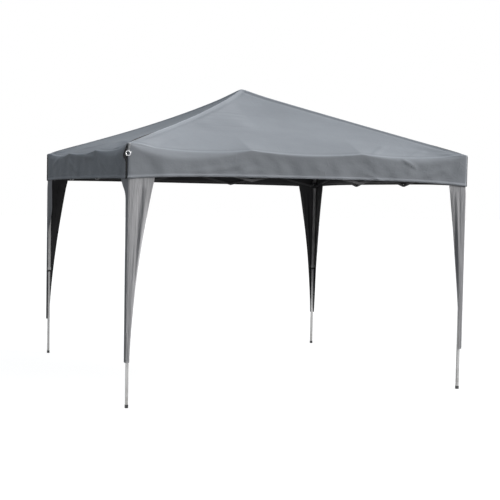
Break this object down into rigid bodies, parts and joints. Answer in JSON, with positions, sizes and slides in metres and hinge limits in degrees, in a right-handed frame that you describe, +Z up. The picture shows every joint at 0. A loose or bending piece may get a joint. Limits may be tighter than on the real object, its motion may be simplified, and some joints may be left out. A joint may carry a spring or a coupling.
{
  "type": "folding canopy shelter",
  "caption": "Folding three metre canopy shelter: pitched cloth roof with straight valance, four telescopic legs with cloth covers, scissor frame and four jointed roof ribs.",
  "frame": {"origin": "on the ground, at the middle of the plan", "axes": "+X right along the front side, +Y to the back, +Z up"},
  "size_m": [3, 3, 2.61],
  "materials": {
    "canopy_cloth": "woven polyester, satin",
    "cover_cloth": "woven polyester, lighter grey",
    "leg_tube": "silver powder coat with dark plastic ends",
    "bar_steel": "silver powder coat",
    "dark_plastic": "moulded, matte",
    "black_plastic": "moulded, matte"
  },
  "bodies": {
    "hub": {"hub": "dark_plastic"},
    "leg_outer_front_left": {"leg_outer_front_left": "leg_tube", "canopy": "canopy_cloth", "leg_cover_front_left": "cover_cloth"},
    "leg_outer_front_right": {"leg_outer_front_right": "leg_tube", "leg_cover_front_right": "cover_cloth"},
    "leg_outer_back_right": {"leg_outer_back_right": "leg_tube", "leg_cover_back_right": "cover_cloth"},
    "leg_outer_back_left": {"leg_outer_back_left": "leg_tube", "leg_cover_back_left": "cover_cloth"},
    "leg_inner_front_left": {"leg_inner_front_left": "leg_tube"},
    "leg_inner_front_right": {"leg_inner_front_right": "leg_tube"},
    "leg_inner_back_right": {"leg_inner_back_right": "leg_tube"},
    "leg_inner_back_left": {"leg_inner_back_left": "leg_tube"},
    "slider_front_left": {"slider_front_left": "dark_plastic"},
    "slider_front_right": {"slider_front_right": "dark_plastic"},
    "slider_back_right": {"slider_back_right": "dark_plastic"},
    "slider_back_left": {"slider_back_left": "dark_plastic"},
    "lock_pin_front_left": {"lock_pin_front_left": "black_plastic"},
    "lock_pin_front_right": {"lock_pin_front_right": "black_plastic"},
    "lock_pin_back_right": {"lock_pin_back_right": "black_plastic"},
    "lock_pin_back_left": {"lock_pin_back_left": "black_plastic"},
    "rib_lower_front_left": {"rib_lower_front_left": "bar_steel"},
    "rib_lower_front_right": {"rib_lower_front_right": "bar_steel"},
    "rib_lower_back_right": {"rib_lower_back_right": "bar_steel"},
    "rib_lower_back_left": {"rib_lower_back_left": "bar_steel"},
    "rib_upper_front_left": {"rib_upper_front_left": "bar_steel"},
    "rib_upper_front_right": {"rib_upper_front_right": "bar_steel"},
    "rib_upper_back_right": {"rib_upper_back_right": "bar_steel"},
    "rib_upper_back_left": {"rib_upper_back_left": "bar_steel"},
    "strut_front_left": {"strut_front_left": "bar_steel"},
    "strut_front_right": {"strut_front_right": "bar_steel"},
    "strut_back_right": {"strut_back_right": "bar_steel"},
    "strut_back_left": {"strut_back_left": "bar_steel"},
    "bar_front_a1": {"bar_front_a1": "bar_steel"},
    "bar_front_a2": {"bar_front_a2": "bar_steel"},
    "bar_front_a3": {"bar_front_a3": "bar_steel"},
    "bar_right_a1": {"bar_right_a1": "bar_steel"},
    "bar_right_a2": {"bar_right_a2": "bar_steel"},
    "bar_right_a3": {"bar_right_a3": "bar_steel"},
    "bar_back_a1": {"bar_back_a1": "bar_steel"},
    "bar_back_a2": {"bar_back_a2": "bar_steel"},
    "bar_back_a3": {"bar_back_a3": "bar_steel"},
    "bar_left_a1": {"bar_left_a1": "bar_steel"},
    "bar_left_a2": {"bar_left_a2": "bar_steel"},
    "bar_left_a3": {"bar_left_a3": "bar_steel"},
    "bar_front_b1": {"bar_front_b1": "bar_steel"},
    "bar_front_b2": {"bar_front_b2": "bar_steel"},
    "bar_front_b3": {"bar_front_b3": "bar_steel"},
    "bar_right_b1": {"bar_right_b1": "bar_steel"},
    "bar_right_b2": {"bar_right_b2": "bar_steel"},
    "bar_right_b3": {"bar_right_b3": "bar_steel"},
    "bar_back_b1": {"bar_back_b1": "bar_steel"},
    "bar_back_b2": {"bar_back_b2": "bar_steel"},
    "bar_back_b3": {"bar_back_b3": "bar_steel"},
    "bar_left_b1": {"bar_left_b1": "bar_steel"},
    "bar_left_b2": {"bar_left_b2": "bar_steel"},
    "bar_left_b3": {"bar_left_b3": "bar_steel"}
  },
  "joints": [
    {"name": "fold", "type": "hinge", "parent": "leg_outer_front_left", "child": "bar_front_a1", "pos_m": [-1.43, -1.475, 1.968], "axis": [0, 1, 0], "range_deg": [0, 73], "deforming": ["canopy", "leg_cover_front_left", "leg_cover_front_right", "leg_cover_back_right", "leg_cover_back_left"]},
    {"name": "bar_front_b1_on_a1", "type": "hinge", "parent": "bar_front_a1", "child": "bar_front_b1", "pos_m": [-0.95333, -1.475, 1.8605], "axis": [0, -1, 0], "range_deg": [-20, 166]},
    {"name": "bar_front_a2_on_b1", "type": "hinge", "parent": "bar_front_b1", "child": "bar_front_a2", "pos_m": [-0.47667, -1.475, 1.968], "axis": [0, 1, 0], "range_deg": [-20, 166]},
    {"name": "bar_front_b2_on_a2", "type": "hinge", "parent": "bar_front_a2", "child": "bar_front_b2", "pos_m": [0, -1.475, 1.8605], "axis": [0, -1, 0], "range_deg": [-20, 166]},
    {"name": "bar_front_a3_on_b2", "type": "hinge", "parent": "bar_front_b2", "child": "bar_front_a3", "pos_m": [0.47667, -1.475, 1.968], "axis": [0, 1, 0], "range_deg": [-20, 166]},
    {"name": "bar_front_b3_on_a3", "type": "hinge", "parent": "bar_front_a3", "child": "bar_front_b3", "pos_m": [0.95333, -1.475, 1.8605], "axis": [0, -1, 0], "range_deg": [-20, 166]},
    {"name": "leg_outer_front_right_on_bar", "type": "hinge", "parent": "bar_front_b3", "child": "leg_outer_front_right", "pos_m": [1.43, -1.475, 1.968], "axis": [0, 1, 0], "range_deg": [-10, 83]},
    {"name": "slider_front_left_on_bar", "type": "hinge", "parent": "bar_front_b1", "child": "slider_front_left", "pos_m": [-1.43, -1.475, 1.753], "axis": [0, 1, 0], "range_deg": [-10, 83]},
    {"name": "slider_front_right_on_bar", "type": "hinge", "parent": "bar_front_a3", "child": "slider_front_right", "pos_m": [1.43, -1.475, 1.753], "axis": [0, -1, 0], "range_deg": [-10, 83]},
    {"name": "bar_right_a1_on_leg", "type": "hinge", "parent": "leg_outer_front_right", "child": "bar_right_a1", "pos_m": [1.475, -1.43, 1.968], "axis": [-1, 0, 0], "range_deg": [-10, 83]},
    {"name": "bar_right_b1_on_a1", "type": "hinge", "parent": "bar_right_a1", "child": "bar_right_b1", "pos_m": [1.475, -0.95333, 1.8605], "axis": [1, 0, 0], "range_deg": [-20, 166]},
    {"name": "bar_right_a2_on_b1", "type": "hinge", "parent": "bar_right_b1", "child": "bar_right_a2", "pos_m": [1.475, -0.47667, 1.968], "axis": [-1, 0, 0], "range_deg": [-20, 166]},
    {"name": "bar_right_b2_on_a2", "type": "hinge", "parent": "bar_right_a2", "child": "bar_right_b2", "pos_m": [1.475, 0, 1.8605], "axis": [1, 0, 0], "range_deg": [-20, 166]},
    {"name": "bar_right_a3_on_b2", "type": "hinge", "parent": "bar_right_b2", "child": "bar_right_a3", "pos_m": [1.475, 0.47667, 1.968], "axis": [-1, 0, 0], "range_deg": [-20, 166]},
    {"name": "bar_right_b3_on_a3", "type": "hinge", "parent": "bar_right_a3", "child": "bar_right_b3", "pos_m": [1.475, 0.95333, 1.8605], "axis": [1, 0, 0], "range_deg": [-20, 166]},
    {"name": "leg_outer_back_right_on_bar", "type": "hinge", "parent": "bar_right_b3", "child": "leg_outer_back_right", "pos_m": [1.475, 1.43, 1.968], "axis": [-1, 0, 0], "range_deg": [-10, 83]},
    {"name": "slider_back_right_on_bar", "type": "hinge", "parent": "bar_right_a3", "child": "slider_back_right", "pos_m": [1.475, 1.43, 1.753], "axis": [1, 0, 0], "range_deg": [-10, 83]},
    {"name": "bar_left_b3_on_leg", "type": "hinge", "parent": "leg_outer_front_left", "child": "bar_left_b3", "pos_m": [-1.475, -1.43, 1.968], "axis": [-1, 0, 0], "range_deg": [-10, 83]},
    {"name": "bar_left_a3_on_b3", "type": "hinge", "parent": "bar_left_b3", "child": "bar_left_a3", "pos_m": [-1.475, -0.95333, 1.8605], "axis": [1, 0, 0], "range_deg": [-20, 166]},
    {"name": "bar_left_b2_on_a3", "type": "hinge", "parent": "bar_left_a3", "child": "bar_left_b2", "pos_m": [-1.475, -0.47667, 1.968], "axis": [-1, 0, 0], "range_deg": [-20, 166]},
    {"name": "bar_left_a2_on_b2", "type": "hinge", "parent": "bar_left_b2", "child": "bar_left_a2", "pos_m": [-1.475, 0, 1.8605], "axis": [1, 0, 0], "range_deg": [-20, 166]},
    {"name": "bar_left_b1_on_a2", "type": "hinge", "parent": "bar_left_a2", "child": "bar_left_b1", "pos_m": [-1.475, 0.47667, 1.968], "axis": [-1, 0, 0], "range_deg": [-20, 166]},
    {"name": "bar_left_a1_on_b1", "type": "hinge", "parent": "bar_left_b1", "child": "bar_left_a1", "pos_m": [-1.475, 0.95333, 1.8605], "axis": [1, 0, 0], "range_deg": [-20, 166]},
    {"name": "leg_outer_back_left_on_bar", "type": "hinge", "parent": "bar_left_a1", "child": "leg_outer_back_left", "pos_m": [-1.475, 1.43, 1.968], "axis": [-1, 0, 0], "range_deg": [-10, 83]},
    {"name": "slider_back_left_on_bar", "type": "hinge", "parent": "bar_left_b1", "child": "slider_back_left", "pos_m": [-1.475, 1.43, 1.753], "axis": [1, 0, 0], "range_deg": [-10, 83]},
    {"name": "bar_back_a1_on_leg", "type": "hinge", "parent": "leg_outer_back_right", "child": "bar_back_a1", "pos_m": [1.43, 1.475, 1.968], "axis": [0, -1, 0], "range_deg": [-10, 83]},
    {"name": "bar_back_b1_on_a1", "type": "hinge", "parent": "bar_back_a1", "child": "bar_back_b1", "pos_m": [0.95333, 1.475, 1.8605], "axis": [0, 1, 0], "range_deg": [-20, 166]},
    {"name": "bar_back_a2_on_b1", "type": "hinge", "parent": "bar_back_b1", "child": "bar_back_a2", "pos_m": [0.47667, 1.475, 1.968], "axis": [0, -1, 0], "range_deg": [-20, 166]},
    {"name": "bar_back_b2_on_a2", "type": "hinge", "parent": "bar_back_a2", "child": "bar_back_b2", "pos_m": [0, 1.475, 1.8605], "axis": [0, 1, 0], "range_deg": [-20, 166]},
    {"name": "bar_back_a3_on_b2", "type": "hinge", "parent": "bar_back_b2", "child": "bar_back_a3", "pos_m": [-0.47667, 1.475, 1.968], "axis": [0, -1, 0], "range_deg": [-20, 166]},
    {"name": "bar_back_b3_on_a3", "type": "hinge", "parent": "bar_back_a3", "child": "bar_back_b3", "pos_m": [-0.95333, 1.475, 1.8605], "axis": [0, 1, 0], "range_deg": [-20, 166]},
    {"name": "rib_lower_front_left_on_leg", "type": "hinge", "parent": "leg_outer_front_left", "child": "rib_lower_front_left", "pos_m": [-1.40429, -1.4156, 1.956], "axis": [-0.7071, 0.7071, 0], "range_deg": [-11.6, 96.26]},
    {"name": "knee_front_left", "type": "hinge", "parent": "rib_lower_front_left", "child": "rib_upper_front_left", "pos_m": [-0.62512, -0.62512, 1.94244], "axis": [0.7071, -0.7071, 0], "range_deg": [-19.17, 159.09]},
    {"name": "strut_front_left_on_slider", "type": "hinge", "parent": "slider_front_left", "child": "strut_front_left", "pos_m": [-1.45591, -1.45591, 1.853], "axis": [0.7071, -0.7071, 0], "range_deg": [-10.4, 86.36]},
    {"name": "rib_lower_front_right_on_leg", "type": "hinge", "parent": "leg_outer_front_right", "child": "rib_lower_front_right", "pos_m": [1.4156, -1.40429, 1.956], "axis": [-0.7071, -0.7071, 0], "range_deg": [-11.6, 96.26]},
    {"name": "knee_front_right", "type": "hinge", "parent": "rib_lower_front_right", "child": "rib_upper_front_right", "pos_m": [0.62512, -0.62512, 1.94244], "axis": [0.7071, 0.7071, 0], "range_deg": [-19.17, 159.09]},
    {"name": "strut_front_right_on_slider", "type": "hinge", "parent": "slider_front_right", "child": "strut_front_right", "pos_m": [1.45591, -1.45591, 1.853], "axis": [0.7071, 0.7071, 0], "range_deg": [-10.4, 86.36]},
    {"name": "rib_lower_back_right_on_leg", "type": "hinge", "parent": "leg_outer_back_right", "child": "rib_lower_back_right", "pos_m": [1.40429, 1.4156, 1.956], "axis": [0.7071, -0.7071, 0], "range_deg": [-11.6, 96.26]},
    {"name": "knee_back_right", "type": "hinge", "parent": "rib_lower_back_right", "child": "rib_upper_back_right", "pos_m": [0.62512, 0.62512, 1.94244], "axis": [-0.7071, 0.7071, 0], "range_deg": [-19.17, 159.09]},
    {"name": "strut_back_right_on_slider", "type": "hinge", "parent": "slider_back_right", "child": "strut_back_right", "pos_m": [1.45591, 1.45591, 1.853], "axis": [-0.7071, 0.7071, 0], "range_deg": [-10.4, 86.36]},
    {"name": "rib_lower_back_left_on_leg", "type": "hinge", "parent": "leg_outer_back_left", "child": "rib_lower_back_left", "pos_m": [-1.4156, 1.40429, 1.956], "axis": [0.7071, 0.7071, 0], "range_deg": [-11.6, 96.26]},
    {"name": "knee_back_left", "type": "hinge", "parent": "rib_lower_back_left", "child": "rib_upper_back_left", "pos_m": [-0.62512, 0.62512, 1.94244], "axis": [-0.7071, -0.7071, 0], "range_deg": [-19.17, 159.09]},
    {"name": "strut_back_left_on_slider", "type": "hinge", "parent": "slider_back_left", "child": "strut_back_left", "pos_m": [-1.45591, 1.45591, 1.853], "axis": [-0.7071, -0.7071, 0], "range_deg": [-10.4, 86.36]},
    {"name": "hub_on_rib", "type": "hinge", "parent": "rib_upper_front_left", "child": "hub", "pos_m": [-0.03394, -0.02263, 2.531], "axis": [-0.7071, 0.7071, 0], "range_deg": [-7.57, 62.83]},
    {"name": "leg_height_front_left", "type": "slide", "parent": "leg_outer_front_left", "child": "leg_inner_front_left", "axis": [0, 0, 1], "range_m": [0, 0.75]},
    {"name": "lock_pull_front_left", "type": "slide", "parent": "slider_front_left", "child": "lock_pin_front_left", "axis": [0, 1, 0], "range_m": [0, 0.008]},
    {"name": "leg_height_front_right", "type": "slide", "parent": "leg_outer_front_right", "child": "leg_inner_front_right", "axis": [0, 0, 1], "range_m": [0, 0.75]},
    {"name": "lock_pull_front_right", "type": "slide", "parent": "slider_front_right", "child": "lock_pin_front_right", "axis": [-1, 0, 0], "range_m": [0, 0.008]},
    {"name": "leg_height_back_right", "type": "slide", "parent": "leg_outer_back_right", "child": "leg_inner_back_right", "axis": [0, 0, 1], "range_m": [0, 0.75]},
    {"name": "lock_pull_back_right", "type": "slide", "parent": "slider_back_right", "child": "lock_pin_back_right", "axis": [0, -1, 0], "range_m": [0, 0.008]},
    {"name": "leg_height_back_left", "type": "slide", "parent": "leg_outer_back_left", "child": "leg_inner_back_left", "axis": [0, 0, 1], "range_m": [0, 0.75]},
    {"name": "lock_pull_back_left", "type": "slide", "parent": "slider_back_left", "child": "lock_pin_back_left", "axis": [1, 0, 0], "range_m": [0, 0.008]}
  ],
  "couplings": [
    {"joint": "bar_front_b1_on_a1", "follows": "fold", "ratio": 2},
    {"joint": "bar_front_a2_on_b1", "follows": "fold", "ratio": 2},
    {"joint": "bar_front_b2_on_a2", "follows": "fold", "ratio": 2},
    {"joint": "bar_front_a3_on_b2", "follows": "fold", "ratio": 2},
    {"joint": "bar_front_b3_on_a3", "follows": "fold", "ratio": 2},
    {"joint": "leg_outer_front_right_on_bar", "follows": "fold", "ratio": 1},
    {"joint": "slider_front_left_on_bar", "follows": "fold", "ratio": 1},
    {"joint": "slider_front_right_on_bar", "follows": "fold", "ratio": 1},
    {"joint": "bar_right_a1_on_leg", "follows": "fold", "ratio": 1},
    {"joint": "bar_right_b1_on_a1", "follows": "fold", "ratio": 2},
    {"joint": "bar_right_a2_on_b1", "follows": "fold", "ratio": 2},
    {"joint": "bar_right_b2_on_a2", "follows": "fold", "ratio": 2},
    {"joint": "bar_right_a3_on_b2", "follows": "fold", "ratio": 2},
    {"joint": "bar_right_b3_on_a3", "follows": "fold", "ratio": 2},
    {"joint": "leg_outer_back_right_on_bar", "follows": "fold", "ratio": 1},
    {"joint": "slider_back_right_on_bar", "follows": "fold", "ratio": 1},
    {"joint": "bar_left_b3_on_leg", "follows": "fold", "ratio": 1},
    {"joint": "bar_left_a3_on_b3", "follows": "fold", "ratio": 2},
    {"joint": "bar_left_b2_on_a3", "follows": "fold", "ratio": 2},
    {"joint": "bar_left_a2_on_b2", "follows": "fold", "ratio": 2},
    {"joint": "bar_left_b1_on_a2", "follows": "fold", "ratio": 2},
    {"joint": "bar_left_a1_on_b1", "follows": "fold", "ratio": 2},
    {"joint": "leg_outer_back_left_on_bar", "follows": "fold", "ratio": 1},
    {"joint": "slider_back_left_on_bar", "follows": "fold", "ratio": 1},
    {"joint": "bar_back_a1_on_leg", "follows": "fold", "ratio": 1},
    {"joint": "bar_back_b1_on_a1", "follows": "fold", "ratio": 2},
    {"joint": "bar_back_a2_on_b1", "follows": "fold", "ratio": 2},
    {"joint": "bar_back_b2_on_a2", "follows": "fold", "ratio": 2},
    {"joint": "bar_back_a3_on_b2", "follows": "fold", "ratio": 2},
    {"joint": "bar_back_b3_on_a3", "follows": "fold", "ratio": 2},
    {"joint": "rib_lower_front_left_on_leg", "follows": "fold", "ratio": 1.1598},
    {"joint": "knee_front_left", "follows": "fold", "ratio": 1.9168},
    {"joint": "strut_front_left_on_slider", "follows": "fold", "ratio": 1.0405},
    {"joint": "rib_lower_front_right_on_leg", "follows": "fold", "ratio": 1.1598},
    {"joint": "knee_front_right", "follows": "fold", "ratio": 1.9168},
    {"joint": "strut_front_right_on_slider", "follows": "fold", "ratio": 1.0405},
    {"joint": "rib_lower_back_right_on_leg", "follows": "fold", "ratio": 1.1598},
    {"joint": "knee_back_right", "follows": "fold", "ratio": 1.9168},
    {"joint": "strut_back_right_on_slider", "follows": "fold", "ratio": 1.0405},
    {"joint": "rib_lower_back_left_on_leg", "follows": "fold", "ratio": 1.1598},
    {"joint": "knee_back_left", "follows": "fold", "ratio": 1.9168},
    {"joint": "strut_back_left_on_slider", "follows": "fold", "ratio": 1.0405},
    {"joint": "hub_on_rib", "follows": "fold", "ratio": 0.757}
  ]
}
